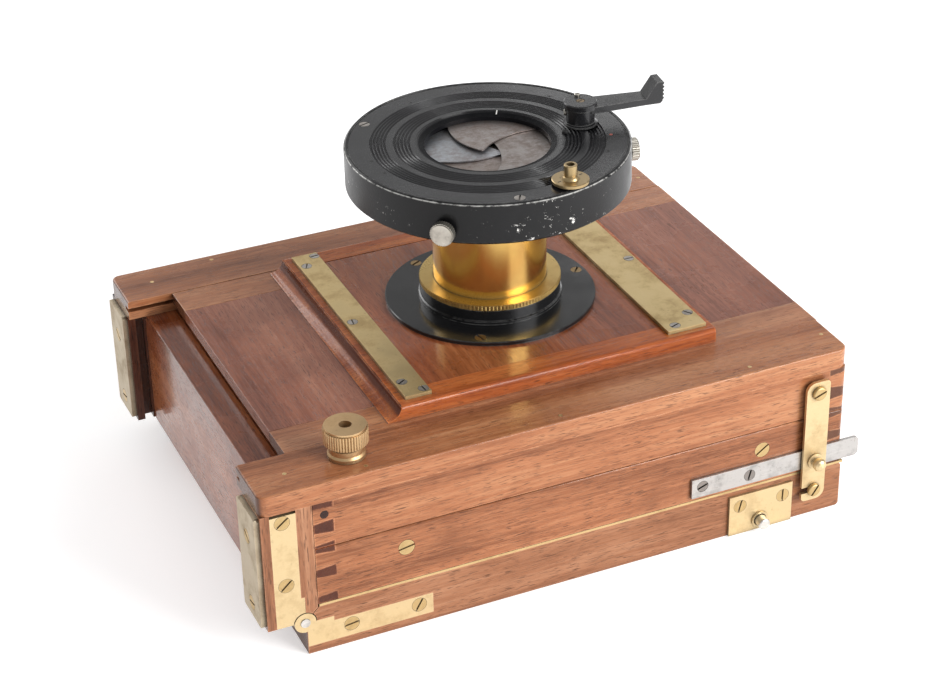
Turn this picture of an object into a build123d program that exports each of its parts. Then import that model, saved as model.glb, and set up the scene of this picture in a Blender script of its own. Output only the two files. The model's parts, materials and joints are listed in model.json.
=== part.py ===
from build123d import *
from math import cos, pi, radians, sin, tan
import os

# A folding tailboard plate camera for 13 x 18 cm plates, folded and lying on its tailboard.
# Frame: millimetres, +Z is the lens axis (up), +X runs from the camera's base to its top,
# Y runs across it. The origin is the centre of the footprint, on the plane it rests on.

# ---------------------------------------------------------------- driving dimensions
CASE_WIDTH = 187.0          # across the folded case
TAIL_LENGTH = 233.2         # hinged tailboard, along X
TAIL_THICK = 20.6
LENS_X = 7.85               # lens axis
TAIL_X0 = LENS_X - 119.2    # hinge end of the tailboard
TAIL_X1 = TAIL_X0 + TAIL_LENGTH
HALF = CASE_WIDTH / 2

HINGE_X = TAIL_X0 - 0.6     # hinge pins of the tailboard
HINGE_Z = 14.8
KNUCKLE_R = 4.3
MITRE_GAP = 0.2             # half the gap between post and tailboard
POST_X0 = HINGE_X - HINGE_Z  # the posts' outer face meets the open tailboard's outer face
POST_X1 = TAIL_X0 + 4.8
POST_Z0 = HINGE_Z + 0.4
POST_WIDTH = 22.0
BOX_X0 = TAIL_X0 + 5.0

RUNNER_THICK = 1.0
REAR_Z0, REAR_Z1 = 21.8, 46.4
FRONT_Z0, FRONT_Z1 = 46.8, 66.4
STRIP_Z1 = 74.7
SIDE_THICK = 9.0            # near and far boards of both boxes
END_THICK = 8.0

STRIP_WIDTH = 25.0
GROOVE_Z0, GROOVE_Z1 = 69.9, 71.6
GROOVE_DEPTH = 4.0
PANEL_Z0, PANEL_Z1 = 69.55, 74.6
PANEL_X0, PANEL_X1 = TAIL_X0 + 3.9, TAIL_X1 + 0.5
CLEAT_EDGE = 51.5           # half width of the panel's middle board

FRAME_TOP = 80.8            # raised frame round the lens board
FRAME_HALF_Y = 66.0
FRAME_X0, FRAME_X1 = LENS_X - 66.6, LENS_X + 69.0
BOARD_HALF_X, BOARD_HALF_Y = 56.0, 55.0
BOARD_FIT = 0.2
PLATE_THICK = 1.5

FLANGE_R = 43.2
FLANGE_TOP = 82.4
COLLAR_R = 28.8
COLLAR_TOP = 88.4
RING_TOP = 90.8
BARREL_R = 23.2
BARREL_WALL = 1.8

SHUTTER_R = 57.2
SHUTTER_Z0, SHUTTER_Z1 = 133.2, 150.2
HOUSING_WALL = 1.8
OPENING_R = 25.2            # screw seat for the front lens cell
OPENING_Z0, OPENING_Z1 = 147.0, 148.8

LEVER_X, LEVER_Y = LENS_X + 39.8, -2.2
LEVER_TURN = -8.0           # direction of the release lever's arm, degrees
DIAL_X, DIAL_Y = LENS_X + 12.5, -49.0

NUT_X, NUT_Y = LENS_X - 94.6, -79.1
LATCH_X = LENS_X + 99.3
LATCH_PIVOT_Z, LATCH_CATCH_Z = 59.5, 13.8
LATCH_Y0, LATCH_Y1 = HALF + 1.8, HALF + 3.2

PINION_X, PINION_Z = LENS_X + 75.8, 4.8
PINION_TEETH = 10
MODULE = 0.8
PITCH_R = MODULE * PINION_TEETH / 2
SHAFT_R = 2.5
RUNNING_FIT = 0.05
GEAR_Y0, GEAR_Y1 = 54.0, 61.0

RAIL_WIDTH = 20.0           # side rails of the tailboard
HINGE_RAIL_X1 = TAIL_X0 + 28.0
CARRIAGE_Z0, CARRIAGE_Z1 = 11.6, 19.8

os.makedirs("parts", exist_ok=True)


# ---------------------------------------------------------------- helpers
def save(name, *solids):
    """Write the pieces of one node."""
    pieces = [s for shape in solids for s in shape.solids()]
    shape = pieces[0] if len(pieces) == 1 else Compound(children=pieces)
    export_step(shape, f"parts/{name}.step")


def block(x0, x1, y0, y1, z0, z1):
    return Pos((x0 + x1) / 2, (y0 + y1) / 2, (z0 + z1) / 2) * Box(x1 - x0, y1 - y0, z1 - z0)


def disc(x, y, z0, z1, radius):
    return Pos(x, y, (z0 + z1) / 2) * Cylinder(radius, z1 - z0)


def rod_y(x, z, y0, y1, radius):
    return Pos(x, (y0 + y1) / 2, z) * Rot(90, 0, 0) * Cylinder(radius, y1 - y0)


def prism_y(points, y0, y1):
    """A polygon of (x, z) points, drawn out along Y."""
    face = Plane.XZ * Polygon(*points, align=None)
    return Pos(0, y1, 0) * extrude(face, y1 - y0, dir=(0, -1, 0))


def prism_z(points, z0, z1):
    return Pos(0, 0, z0) * extrude(Polygon(*points, align=None), z1 - z0, dir=(0, 0, 1))


def turned(points):
    """A profile of (radius, height) points, turned about the Z axis."""
    return revolve(Plane.XZ * Polygon(*points, align=None), Axis.Z)


def far(shape):
    """The far side's mirror image of a near piece."""
    return mirror(shape, about=Plane.XZ)


def both(shape):
    return [shape, far(shape)]


def toothed_disc(radius, depth, count, z0, z1):
    """A disc with a finely milled edge."""
    points = []
    for i in range(count):
        for share, r in ((0.0, radius - depth), (0.3, radius), (0.7, radius)):
            a = 2 * pi * (i + share) / count
            points.append((r * cos(a), r * sin(a)))
    return prism_z(points, z0, z1)


class Screw:
    """Countersunk slotted screws of one size. The heads face +Z, with their tops at z = 0."""

    RIM = 0.15              # gap round the head, and its depth
    RIM_DEPTH = 0.35

    def __init__(self, head_r, shank_r, length, slot=0.8):
        cone = [(shank_r, shank_r - head_r), (shank_r, -length), (0, -length)]
        self.body = turned([(0, 0), (head_r, 0)] + cone)
        rim_r = head_r + self.RIM
        rim = [(0, 0), (rim_r, 0), (rim_r, -self.RIM_DEPTH), (head_r - self.RIM_DEPTH, -self.RIM_DEPTH)]
        self.hole = turned(rim + cone)
        self.slot = Box(3 * head_r, slot, 1.6 * slot)

    def at(self, places):
        """Holes to drill, and the finished screws, at each (location, slot turn)."""
        holes = [place * self.hole for place, turn in places]
        screws = [place * (self.body - Rot(0, 0, turn) * self.slot) for place, turn in places]
        return holes, screws


def facing_near(x, z, y=-HALF):
    return Pos(x, y, z) * Rot(90, 0, 0)


def facing_far(x, z, y=HALF):
    return Pos(x, y, z) * Rot(-90, 0, 0)


def facing_base(y, z, x):
    return Pos(x, y, z) * Rot(0, -90, 0)


def side_places(spots, stand=0.0):
    """The same spots (x, z, slot turn) on the near and the far face."""
    near = [(facing_near(x, z, -HALF - stand), turn) for x, z, turn in spots]
    return near + [(facing_far(x, z, HALF + stand), turn) for x, z, turn in spots]


# ---------------------------------------------------------------- hinges
HINGE_SCREW = Screw(3.0, 1.3, 9.0)
LEAF_THICK = 2.0


def post_leaf(extra=0.0):
    """Outline of the leaf on the post, with its hollow round the knuckle."""
    x0, x1 = HINGE_X - 11.2, HINGE_X - 1.0
    step_x, step_z = x1 + 1.4, HINGE_Z + 11.7
    top = HINGE_Z + 50.2 + extra
    outline = [(x0, POST_Z0), (HINGE_X, POST_Z0), (step_x, POST_Z0 + 1), (step_x, step_z), (x1, step_z),
               (x1, top), (x0, top)]
    leaf = prism_y(outline, -HALF, -HALF + LEAF_THICK)
    return leaf - rod_y(HINGE_X, HINGE_Z, -HALF - 1, -HALF + 9, KNUCKLE_R + 0.35)


def tail_leaf():
    """The leaf on the tailboard's edge, in one piece with its knuckle."""
    z0, z1 = 3.4, 12.4
    step_x = TAIL_X0 + 10.9
    outline = [(TAIL_X0 + 0.2, z0), (TAIL_X0 + 51.5, z0), (TAIL_X0 + 51.5, z1), (step_x, z1),
               (step_x, z1 + 2), (TAIL_X0 + 3, z1 + 2), (TAIL_X0 + 0.2, z1)]
    leaf = prism_y(outline, -HALF, -HALF + LEAF_THICK)
    knuckle = rod_y(HINGE_X, HINGE_Z, -HALF - 0.2, -HALF + LEAF_THICK, KNUCKLE_R)
    return leaf + knuckle - rod_y(HINGE_X, HINGE_Z, -HALF - 1, -HALF + 9, PIN_R + RUNNING_FIT)


PIN_R = 1.9
PIN_DEPTH = 12.0
post_leaf_spots = [(HINGE_X - 6.4, HINGE_Z + 47.2, 38), (HINGE_X - 6.4, HINGE_Z + 19.1, 42)]
tail_leaf_spots = [(TAIL_X0 + 17.9, 8.6, 8), (TAIL_X0 + 45.7, 8.5, 60)]
post_leaf_blanks, post_leaf_screws = HINGE_SCREW.at(side_places(post_leaf_spots))
tail_leaf_blanks, tail_leaf_screws = HINGE_SCREW.at(side_places(tail_leaf_spots))

pin = rod_y(HINGE_X, HINGE_Z, -HALF - 0.5, -HALF + PIN_DEPTH, PIN_R)
lug = block(HINGE_X - 9, HINGE_X - KNUCKLE_R - 0.4, -HALF + LEAF_THICK, -HALF + 4, POST_Z0, HINGE_Z + 9)
lug_disc = rod_y(HINGE_X, HINGE_Z, -HALF + LEAF_THICK + 0.2, -HALF + 4, KNUCKLE_R)
lug_bridge = block(HINGE_X - 6, HINGE_X, -HALF + LEAF_THICK + 0.2, -HALF + 4, POST_Z0, HINGE_Z + KNUCKLE_R)
post_leaf_near = post_leaf() + lug + lug_disc + lug_bridge - pin
save("post_hinge_leaves", *[leaf - post_leaf_blanks for leaf in both(post_leaf_near)])
save("tailboard_hinge_leaves", *[leaf - tail_leaf_blanks for leaf in both(tail_leaf())])
short_pin = rod_y(HINGE_X, HINGE_Z, -HALF - 0.5, -HALF + 4, PIN_R)
save("hinge_pins", *both(short_pin))

# ---------------------------------------------------------------- posts and base panel
CORNER_PLATE = 2.0
PLATE_SCREW = Screw(2.9, 1.2, 8.0)
plate_places = [(facing_base(side * (HALF - 11.0), z, POST_X0 - CORNER_PLATE), turn)
                for side in (-1, 1) for z, turn in ((52.7, 60), (22.4, 100))]
plate_blanks, plate_screws = PLATE_SCREW.at(plate_places)

mitre_top = HINGE_Z + (POST_X1 - HINGE_X) + MITRE_GAP
post_outline = [(POST_X0, POST_Z0), (HINGE_X, POST_Z0), (POST_X1, mitre_top), (POST_X1, FRONT_Z1),
                (POST_X0, FRONT_Z1)]
post = prism_y(post_outline, -HALF, -HALF + POST_WIDTH)
post -= post_leaf(1.2)
post -= rod_y(HINGE_X, HINGE_Z, -HALF - 1, -HALF + 4.3, KNUCKLE_R + 0.3)
post -= block(HINGE_X - 9.2, HINGE_X + 0.5, -HALF - 1, -HALF + 4.2, POST_Z0 - 1, HINGE_Z + 9.2)
post_inner = -HALF + POST_WIDTH
post -= block(POST_X0 + 3.2, POST_X0 + 6.8, post_inner - 4, post_inner + 1, POST_Z0 - 1, FRONT_Z1 + 1)
save("base_post_near", post - post_leaf_blanks - plate_blanks)
save("base_post_far", far(post) - post_leaf_blanks - plate_blanks)

PANEL_SETBACK = 7.5
panel_outline = [(POST_X0 + PANEL_SETBACK, POST_Z0), (HINGE_X, POST_Z0), (POST_X1, mitre_top),
                 (POST_X1, FRONT_Z1), (POST_X0 + PANEL_SETBACK, FRONT_Z1)]
save("base_panel", prism_y(panel_outline, -HALF + POST_WIDTH, HALF - POST_WIDTH))

corner_plate = block(POST_X0 - CORNER_PLATE, POST_X0, -HALF + 1.5, -HALF + 20.5, POST_Z0 + 1, 65.2)
corner_plate = fillet(corner_plate.edges().filter_by(Axis.X), 1.2)
save("corner_plates", *[plate - plate_blanks for plate in both(corner_plate)])


# ---------------------------------------------------------------- dovetailed boxes
def dovetail_pins(z_pairs, z0, z1):
    """Pins of the end boards, which pass through the side boards at all four corners."""
    flare = 0.8
    pins = []
    for low, high in z_pairs:
        base = [(0, low + flare), (END_THICK, low), (END_THICK, high), (0, high - flare)]
        if low <= z0:
            base[0] = (0, low)
        if high >= z1:
            base[3] = (0, high)
        left = [(BOX_X0 + x, z) for x, z in base]
        right = [(TAIL_X1 - x, z) for x, z in base]
        for y in (-HALF, HALF - SIDE_THICK):
            pins += [prism_y(left, y, y + SIDE_THICK), prism_y(right, y, y + SIDE_THICK)]
    return pins


def save_box(name, z0, z1, z_pairs, screw_holes, top_round=0):
    """Four boards, dovetailed at the corners and rounded where they meet the camera's top."""
    hull = block(BOX_X0, TAIL_X1, -HALF, HALF, z0, z1)
    hull = fillet(hull.edges().filter_by(Axis.Z).group_by(Axis.X)[-1], 2.5)
    if top_round:
        rim = hull.edges().group_by(Axis.Z)[-1].filter_by(lambda e: e.center().X > BOX_X0 + 1)
        hull = fillet(rim, top_round)
    pins = dovetail_pins(z_pairs, z0, z1)
    left_pins = [p for p in pins if p.center().X < 0]
    right_pins = [p for p in pins if p.center().X > 0]
    side = block(BOX_X0, TAIL_X1, -HALF, -HALF + SIDE_THICK, z0, z1)
    save(name + "_side_near", (side - pins - screw_holes) & hull)
    save(name + "_side_far", (far(side) - pins - screw_holes) & hull)
    inner = HALF - SIDE_THICK
    bottom = block(BOX_X0, BOX_X0 + END_THICK, -inner, inner, z0, z1)
    top = block(TAIL_X1 - END_THICK, TAIL_X1, -inner, inner, z0, z1)
    save(name + "_end_bottom", (bottom + left_pins) & hull)
    save(name + "_end_top", (top + right_pins) & hull)


CASE_SCREW = Screw(3.3, 1.4, 8.0)
case_spots = [(TAIL_X0 + 41.4, 36.7, 10), (TAIL_X0 + 195.5, 37.2, 35)]
case_blanks, case_screws = CASE_SCREW.at(side_places(case_spots))

STRAP_THICK = 1.4
STRAP_SCREW = Screw(2.4, 1.1, 7.0)
strap_spots = [(TAIL_X0 + 168.0, 28.4, 20), (TAIL_X0 + 189.4, 27.6, 75)]
strap_blanks, strap_screws = STRAP_SCREW.at(side_places(strap_spots, STRAP_THICK))

PIVOT_R = 1.5
PIVOT_DEPTH = 8.0
pivot_screw = rod_y(LATCH_X, LATCH_PIVOT_Z, -LATCH_Y1, -HALF + PIVOT_DEPTH, PIVOT_R)
pivot_head = rod_y(LATCH_X, LATCH_PIVOT_Z, -LATCH_Y1 - 1.6, -LATCH_Y1 - 0.1, 3.0)
pivot_collar = rod_y(LATCH_X, LATCH_PIVOT_Z, -LATCH_Y0 + 0.1, -HALF, 2.8)
pivot_slot = facing_near(LATCH_X, LATCH_PIVOT_Z, -LATCH_Y1 - 1.6) * Rot(0, 0, 20) * Box(8, 0.9, 1.6)
latch_pivot = fillet(pivot_head.edges().group_by(Axis.Y)[0], 0.7) + pivot_screw + pivot_collar - pivot_slot

save_box("front_box", FRONT_Z0, FRONT_Z1, [(46.8, 48.8), (52.6, 58.4), (63.6, 66.4)], both(pivot_screw))
save_box("rear_body", REAR_Z0, REAR_Z1, [(21.8, 25.7), (33.0, 37.9), (43.8, 46.4)],
         case_blanks + strap_blanks, top_round=0.8)
save("case_screws", *case_screws, *plate_screws, *post_leaf_screws, *both(latch_pivot))

inner_y = HALF - SIDE_THICK
front_board = block(BOX_X0 + END_THICK, TAIL_X1 - END_THICK, -inner_y, inner_y, 60.4, FRONT_Z1)
save("front_board", front_board - block(LENS_X - 78, LENS_X + 78, -50, 50, 60, 67))

strap = block(TAIL_X0 + 163.2, TAIL_X0 + 240.1, -HALF - STRAP_THICK, -HALF, 23.6, 32.2)
strap = fillet(strap.edges().filter_by(Axis.Y).group_by(Axis.X)[-1], 1.8)
save("steel_straps", *[s - strap_blanks for s in both(strap)], *strap_screws)

# ---------------------------------------------------------------- guide strips and their pins
near_pins = [(-0.8, 12.1), (28.2, 4.2), (108.0, 4.4), (190.6, 4.5), (229.1, 14.3)]
pins = [disc(TAIL_X0 + x, y - HALF, FRONT_Z1, STRIP_Z1 + 0.05, 0.8) for x, y in near_pins]
pins += [far(p) for p in pins]
stud = disc(NUT_X, NUT_Y, FRONT_Z1, 85.5, 2.4)
strip = block(POST_X0, TAIL_X1 + 0.4, -HALF, -HALF + STRIP_WIDTH, FRONT_Z1, STRIP_Z1)
outer_corners = strip.edges().filter_by(Axis.Z).group_by(Axis.Y)[0].sort_by(Axis.X)
strip = fillet(outer_corners[0], 3.5)
strip = fillet(strip.edges().filter_by(Axis.Z).group_by(Axis.Y)[0].sort_by(Axis.X)[-1], 4.5)
strip = fillet(strip.edges().group_by(Axis.Z)[-1].filter_by(lambda e: e.center().Y < -HALF + 3), 0.7)
strip -= block(POST_X0 - 1, TAIL_X1 + 1, -HALF + STRIP_WIDTH - GROOVE_DEPTH, -HALF + 30, GROOVE_Z0, GROOVE_Z1)
save("guide_strip_near", strip - pins - stud)
save("guide_strip_far", far(strip) - pins)
save("strip_pins", *pins)
save("clamp_stud", stud)

nut_head = Pos(NUT_X, NUT_Y, 0) * toothed_disc(8.6, 0.35, 48, 81.0, 87.0)
nut_cap = disc(NUT_X, NUT_Y, 87.0, 88.0, 8.1)
nut_profile = [(0, 74.8), (7.3, 74.8), (7.3, 76.2), (6.8, 77.2), (6.8, 79.2), (6.1, 79.8), (6.1, 80.4),
               (8.2, 81.0), (0, 81.0)]
nut_base = Pos(NUT_X, NUT_Y, 0) * turned(nut_profile)
save("clamp_nut", nut_head + nut_cap + nut_base - disc(NUT_X, NUT_Y, 74, 89, 2.4 + RUNNING_FIT))

# ---------------------------------------------------------------- inside the rear body
GLASS_HALF_X, GLASS_HALF_Y = 91.0, 66.0
FRAME_CX = (BOX_X0 + TAIL_X1) / 2
screen_x0, screen_x1 = BOX_X0 + END_THICK + 0.5, TAIL_X1 - END_THICK - 0.5
screen_frame = block(screen_x0, screen_x1, -inner_y + 0.5, inner_y - 0.5, 22.0, 31.0)
screen_frame -= block(FRAME_CX - 88, FRAME_CX + 88, -63, 63, 21, 32)
glass = block(FRAME_CX - GLASS_HALF_X, FRAME_CX + GLASS_HALF_X, -GLASS_HALF_Y, GLASS_HALF_Y, 24.0, 26.2)
screen_frame -= block(FRAME_CX - GLASS_HALF_X, FRAME_CX + GLASS_HALF_X, -GLASS_HALF_Y, GLASS_HALF_Y, 24.0, 32)
save("screen_frame", screen_frame)
save("ground_glass", glass)

PLEATS = 6
PLEAT_Z0, PLEAT_Z1 = 31.6, 60.2
pleat_step = (PLEAT_Z1 - PLEAT_Z0) / PLEATS
bellows = None
for i in range(PLEATS):
    z = PLEAT_Z0 + i * pleat_step
    for grow, low, high in ((0, 0, 0.5), (-5, 0.5, 1)):
        fold = block(FRAME_CX - 100 - grow, FRAME_CX + 100 + grow, -80 - grow, 80 + grow,
                     z + low * pleat_step, z + high * pleat_step)
        fold -= block(FRAME_CX - 88, FRAME_CX + 88, -64, 64, z - 1, z + pleat_step + 1)
        bellows = fold if bellows is None else bellows + fold
save("bellows", bellows)


# ---------------------------------------------------------------- tailboard
def gear_points():
    """Pinion teeth: the flanks are straight from root to pitch circle and on to the tip."""
    profile = [(PITCH_R - 0.85, 10.0), (PITCH_R, 7.2), (PITCH_R + 0.55, 4.2)]
    points = []
    for i in range(PINION_TEETH):
        middle = 90 + i * 360 / PINION_TEETH
        flank = [(r, middle + half) for r, half in reversed(profile)]
        points += [(r, middle - half) for r, half in profile] + flank
    return [(PINION_X + r * cos(radians(a)), PINION_Z + r * sin(radians(a))) for r, a in points]


def rack_points(x0, x1):
    """A rack with its teeth down and a gap over the pinion's upright tooth."""
    pitch = pi * MODULE
    line = PINION_Z + PITCH_R
    tip, root, half = line - 0.55, line + 0.95, pitch / 4 - 0.1
    points = [(x0, CARRIAGE_Z0), (x0, root)]
    first = int((x0 - PINION_X) / pitch) + 1
    last = int((x1 - PINION_X) / pitch) - 1
    for i in range(first, last):
        middle = PINION_X + (i + 0.5) * pitch
        for z, sign in ((root, -1), (tip, -1), (tip, 1), (root, 1)):
            points.append((middle + sign * (half - (line - z) * tan(radians(20))), z))
    return points + [(x1, root), (x1, CARRIAGE_Z0)]


tail_outline = [(TAIL_X0, 0), (TAIL_X1, 0), (TAIL_X1, TAIL_THICK),
                (HINGE_X + TAIL_THICK - HINGE_Z + MITRE_GAP, TAIL_THICK),
                (TAIL_X0, HINGE_Z + TAIL_X0 - HINGE_X - MITRE_GAP)]
pinion_bore = rod_y(PINION_X, PINION_Z, -HALF - 3, HALF + 3, SHAFT_R + RUNNING_FIT)
PINION_PLATE = 1.2
PINION_SCREW = Screw(2.8, 1.2, 7.0)
pinion_spots = [(LENS_X + 66.6, 13.5, 75), (LENS_X + 86.3, 13.2, 88)]
pinion_blanks, pinion_screws = PINION_SCREW.at(side_places(pinion_spots, PINION_PLATE))

CATCH_R = 1.1
catch_shank = rod_y(LATCH_X, LATCH_CATCH_Z, -LATCH_Y1 - 0.2, -HALF + 8, CATCH_R)
catch_head = rod_y(LATCH_X, LATCH_CATCH_Z, -LATCH_Y1 - 1.8, -LATCH_Y1 - 0.2, 2.8)
catch_slot = facing_near(LATCH_X, LATCH_CATCH_Z, -LATCH_Y1 - 1.8) * Rot(0, 0, 55) * Box(8, 0.9, 1.6)
catch = fillet(catch_head.edges().group_by(Axis.Y)[0], 0.7) + catch_shank - catch_slot

rail = prism_y(tail_outline, -HALF, -HALF + RAIL_WIDTH) - tail_leaf() - pinion_bore - catch_shank
rail -= rod_y(HINGE_X, HINGE_Z, -HALF - 1, -HALF + 4.4, KNUCKLE_R + 0.4)
rail -= block(HINGE_RAIL_X1, TAIL_X1 + 1, -HALF + RAIL_WIDTH - 5, -HALF + RAIL_WIDTH + 1, 12.8, 16.2)
corner = rail.edges().filter_by(Axis.Y).group_by(Axis.X)[-1]
rail = fillet(corner, 1.5)
rail_blanks = tail_leaf_blanks + pinion_blanks
save("tailboard_rails", *[r - rail_blanks for r in both(rail)])
hinge_rail = prism_y(tail_outline, -HALF + RAIL_WIDTH, HALF - RAIL_WIDTH)
save("tailboard_hinge_rail", hinge_rail - block(HINGE_RAIL_X1, TAIL_X1 + 1, -HALF, HALF, -1, 30))

runner = block(TAIL_X0 + 5.4, TAIL_X1 + 0.8, -HALF, -HALF + 8.5, TAIL_THICK, TAIL_THICK + RUNNER_THICK)
save("runner_strips", *both(runner))

pinion_plate = block(LENS_X + 61.8, LENS_X + 90.8, -HALF - PINION_PLATE, -HALF, 0.1, 18.5)
plate_face = -HALF - PINION_PLATE
pinion_plate += rod_y(PINION_X, PINION_Z, plate_face - 0.8, plate_face + 0.1, SHAFT_R + 1.1)
pinion_plate -= rod_y(PINION_X, PINION_Z, -HALF - 3, -HALF + 1, SHAFT_R + 0.3)
save("pinion_plates", *[p - pinion_blanks for p in both(pinion_plate)])
save("tailboard_screws", *tail_leaf_screws, *pinion_screws, *both(catch))

SIDE_PLAY = 0.3
carriage_half = HALF - RAIL_WIDTH - SIDE_PLAY
carriage = block(HINGE_RAIL_X1 + 1, TAIL_X1 - 1, -carriage_half, carriage_half, CARRIAGE_Z0, CARRIAGE_Z1)
carriage += block(HINGE_RAIL_X1 + 1, TAIL_X1 - 1, -carriage_half - 4.7, carriage_half + 4.7, 13.0, 16.0)
save("carriage_board", carriage)
rack = prism_y(rack_points(HINGE_RAIL_X1 + 20, TAIL_X1 - 12), -GEAR_Y1 - 1, -GEAR_Y0 + 1)
save("carriage_racks", *both(rack))

SHAFT_STAND = 5.0           # how far the shaft's ends stand out of their plates
shaft_end = HALF + PINION_PLATE + SHAFT_STAND
shaft = fillet(rod_y(PINION_X, PINION_Z, -shaft_end, shaft_end, SHAFT_R).edges(), 0.8)
save("pinion_shaft", shaft + both(prism_y(gear_points(), -GEAR_Y1, -GEAR_Y0)))


# ---------------------------------------------------------------- latches
def latch_hook():
    """A flat link with a notch for the catch screw and a turned knob."""
    x0, x1 = LATCH_X - 5.3, LATCH_X + 5.3
    z0, z1 = LATCH_CATCH_Z - 5.1, LATCH_PIVOT_Z + 4.9
    link = block(x0, x1, -LATCH_Y1, -LATCH_Y0, z0, z1)
    for left, top in ((True, True), (True, False), (False, True), (False, False)):
        end_edges = link.edges().filter_by(Axis.Y).group_by(Axis.Z)[-1 if top else 0]
        corner = end_edges.sort_by(Axis.X)[0 if left else -1]
        link = fillet(corner, 4.0 if left == top else 1.8)
    link -= block(x0 - 1, LATCH_X, -LATCH_Y1 - 1, -LATCH_Y0 + 1, LATCH_CATCH_Z - 1.4, LATCH_CATCH_Z + 1.4)
    link -= rod_y(LATCH_X, LATCH_CATCH_Z, -LATCH_Y1 - 1, -LATCH_Y0 + 1, 1.4)
    link -= rod_y(LATCH_X, LATCH_PIVOT_Z, -LATCH_Y1 - 1, -LATCH_Y0 + 1, PIVOT_R + RUNNING_FIT)
    knob_profile = [(0, 0), (3.3, 0), (3.3, 0.8), (1.9, 1.2), (1.7, 1.8), (2.3, 2.3), (2.7, 3.2), (2.8, 4.1),
                    (2.4, 5.1), (1.6, 5.8), (0, 6.2)]
    knob = facing_near(LATCH_X, 27.6, -LATCH_Y1) * turned(knob_profile)
    return link + knob


save("latch_hook_near", latch_hook())
save("latch_hook_far", far(latch_hook()))

# ---------------------------------------------------------------- rising front
panel = block(PANEL_X0, PANEL_X1, -CLEAT_EDGE, CLEAT_EDGE, PANEL_Z0, PANEL_Z1)
save("rising_panel", panel - block(LENS_X - 50, LENS_X + 50, -45, 45, 60, 80))
cleat_edge = HALF - STRIP_WIDTH - BOARD_FIT
cleat = block(PANEL_X0, PANEL_X1, -cleat_edge, -CLEAT_EDGE, PANEL_Z0, PANEL_Z1)
tongue = GROOVE_DEPTH - 0.3
cleat += block(PANEL_X0, PANEL_X1, -cleat_edge - tongue, -cleat_edge, GROOVE_Z0 + 0.15, GROOVE_Z1 - 0.15)
save("panel_cleats", *both(cleat))

BOARD_SCREW = Screw(2.1, 0.9, 5.0, slot=0.6)
left_x, right_x = LENS_X - 60.7, LENS_X + 63.7
board_spots = [(left_x, 0, 80), (left_x, -51.5, 30), (left_x, 52.5, 65), (LENS_X - 55.0, -59.4, 95),
               (LENS_X - 54.6, 59.6, 5), (right_x, -0.5, 0), (right_x, -51.7, 120), (right_x, 51.7, 40),
               (LENS_X + 54.3, -58.8, 20), (LENS_X + 54.3, 58.8, 75)]
board_places = [(Pos(x, y, FRAME_TOP + PLATE_THICK), turn) for x, y, turn in board_spots]
board_blanks, board_screws = BOARD_SCREW.at(board_places)

opening_x, opening_y = BOARD_HALF_X + BOARD_FIT, BOARD_HALF_Y + BOARD_FIT
frame = block(FRAME_X0, FRAME_X1, -FRAME_HALF_Y, FRAME_HALF_Y, PANEL_Z1, FRAME_TOP)
top_arris = frame.edges().group_by(Axis.Z)[-1].filter_by(Axis.X)
frame = fillet(top_arris, 1.8)
COVE = 6.0
cove_block = block(FRAME_X0 - COVE, FRAME_X0, -FRAME_HALF_Y, FRAME_HALF_Y, PANEL_Z1, FRAME_TOP - 0.6)
COVE_FOOT = 0.35
cove_r = COVE - COVE_FOOT
cove_cut = rod_y(FRAME_X0 - COVE, PANEL_Z1 + COVE_FOOT + cove_r, -FRAME_HALF_Y - 1, FRAME_HALF_Y + 1, cove_r)
frame += cove_block - cove_cut
frame -= block(LENS_X - opening_x, LENS_X + opening_x, -opening_y, opening_y, 70, 90)
save("lensboard_frame", frame - board_blanks)

board_x0, board_x1 = LENS_X - BOARD_HALF_X, LENS_X + BOARD_HALF_X
board = block(board_x0, board_x1, -BOARD_HALF_Y, BOARD_HALF_Y, 75.4, FRAME_TOP - 0.1)
save("lens_board", board - disc(LENS_X, 0, 70, 90, 26.0) - board_blanks)
lower_plate = block(LENS_X - 63.8, LENS_X - 52.8, -62.4, 62.4, FRAME_TOP, FRAME_TOP + PLATE_THICK)
upper_plate = block(LENS_X + 49.4, LENS_X + 66.4, -62.4, 62.4, FRAME_TOP, FRAME_TOP + PLATE_THICK)
save("lensboard_plates", lower_plate - board_blanks, upper_plate - board_blanks)
save("lensboard_screws", *board_screws)


def on_axis(shape):
    return Pos(LENS_X, 0, 0) * shape


FLANGE_SCREW = Screw(2.3, 1.0, 1.5)
flange_places = [(Pos(LENS_X + 39.3 * cos(radians(a)), 39.3 * sin(radians(a)), FLANGE_TOP), turn)
                 for a, turn in ((0, 50), (118, 30), (-120, 100))]
flange_blanks, flange_screws = FLANGE_SCREW.at(flange_places)
tube_out, tube_in = BARREL_R + 2.4, BARREL_R + 0.1
flange_profile = [(tube_in, 77.0), (tube_out, 77.0), (tube_out, FRAME_TOP - 0.1), (FLANGE_R, FRAME_TOP - 0.1),
                  (FLANGE_R, FLANGE_TOP - 0.3), (FLANGE_R - 0.3, FLANGE_TOP), (COLLAR_R + 0.6, FLANGE_TOP),
                  (COLLAR_R + 0.6, FLANGE_TOP + 1.2), (COLLAR_R, FLANGE_TOP + 1.5), (COLLAR_R, COLLAR_TOP),
                  (tube_in, COLLAR_TOP)]
save("flange", on_axis(turned(flange_profile)) - flange_blanks)
save("flange_screws", *flange_screws)
ring = toothed_disc(COLLAR_R + 0.2, 0.25, 120, COLLAR_TOP + 0.4, RING_TOP - 0.3)
ring += Pos(0, 0, RING_TOP - 0.15) * Cylinder(COLLAR_R - 0.1, 0.3)
ring += Pos(0, 0, COLLAR_TOP + 0.2) * Cylinder(COLLAR_R - 0.1, 0.4)
save("milled_ring", on_axis(ring - Pos(0, 0, 90) * Cylinder(tube_in, 10)))

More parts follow.
